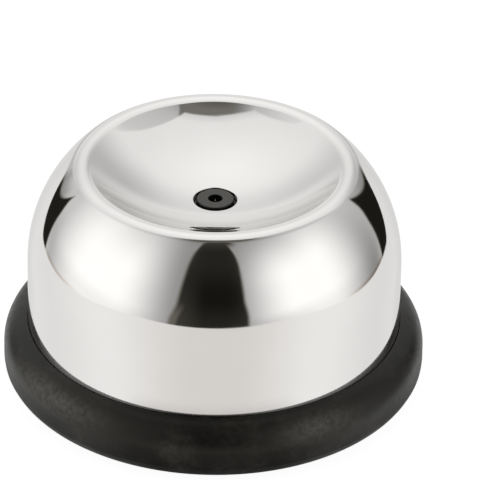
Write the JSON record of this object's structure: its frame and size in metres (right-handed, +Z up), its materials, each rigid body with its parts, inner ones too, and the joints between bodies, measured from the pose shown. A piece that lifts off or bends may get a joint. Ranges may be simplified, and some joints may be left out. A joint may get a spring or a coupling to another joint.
{
  "type": "egg piercer",
  "caption": "Round polished steel egg piercer on a black rubber foot ring: an egg pressed into its dish pushes a sprung button down past a fixed needle.",
  "frame": {"origin": "on the table under the middle of the dish, where the plunger's axis meets the plane of the rubber foot", "axes": "+Z up along the plunger's axis, which is the axis of the whole round object; X and Y lie on the table, and one base screw stands on +Y"},
  "size_m": [0.06, 0.06, 0.034],
  "materials": {
    "polished_steel": "mirror-polished stainless steel with faint polishing marks",
    "black_rubber": "matt black moulded rubber with a fine grain and a little dust",
    "black_plastic": "spark-eroded black plastic",
    "frame_plastic": "moulded dark grey plastic",
    "sleeve_plastic": "smooth low-friction black plastic",
    "button_plastic": "satin black plastic",
    "spring_steel": "drawn spring wire",
    "screw_steel": "bright zinc-plated steel",
    "needle_steel": "ground steel",
    "holder_brass": "turned brass"
  },
  "bodies": {
    "housing": {"steel_shell": "polished_steel", "foot_ring": "black_rubber", "base_plate": "black_plastic", "base_screws": "screw_steel", "inner_frame": "frame_plastic", "guide_sleeve": "sleeve_plastic", "return_spring": "spring_steel", "spring_washer": "screw_steel", "needle": "needle_steel", "needle_holder": "holder_brass", "holder_screw": "screw_steel"},
    "button": {"plunger": "button_plastic"}
  },
  "joints": [
    {"name": "plunger_press", "type": "slide", "parent": "housing", "child": "button", "axis": [0, 0, -1], "range_m": [0, 0.002], "stiffness_N_per_m": 900, "springref_m": -0.003, "deforming": ["return_spring"]}
  ]
}
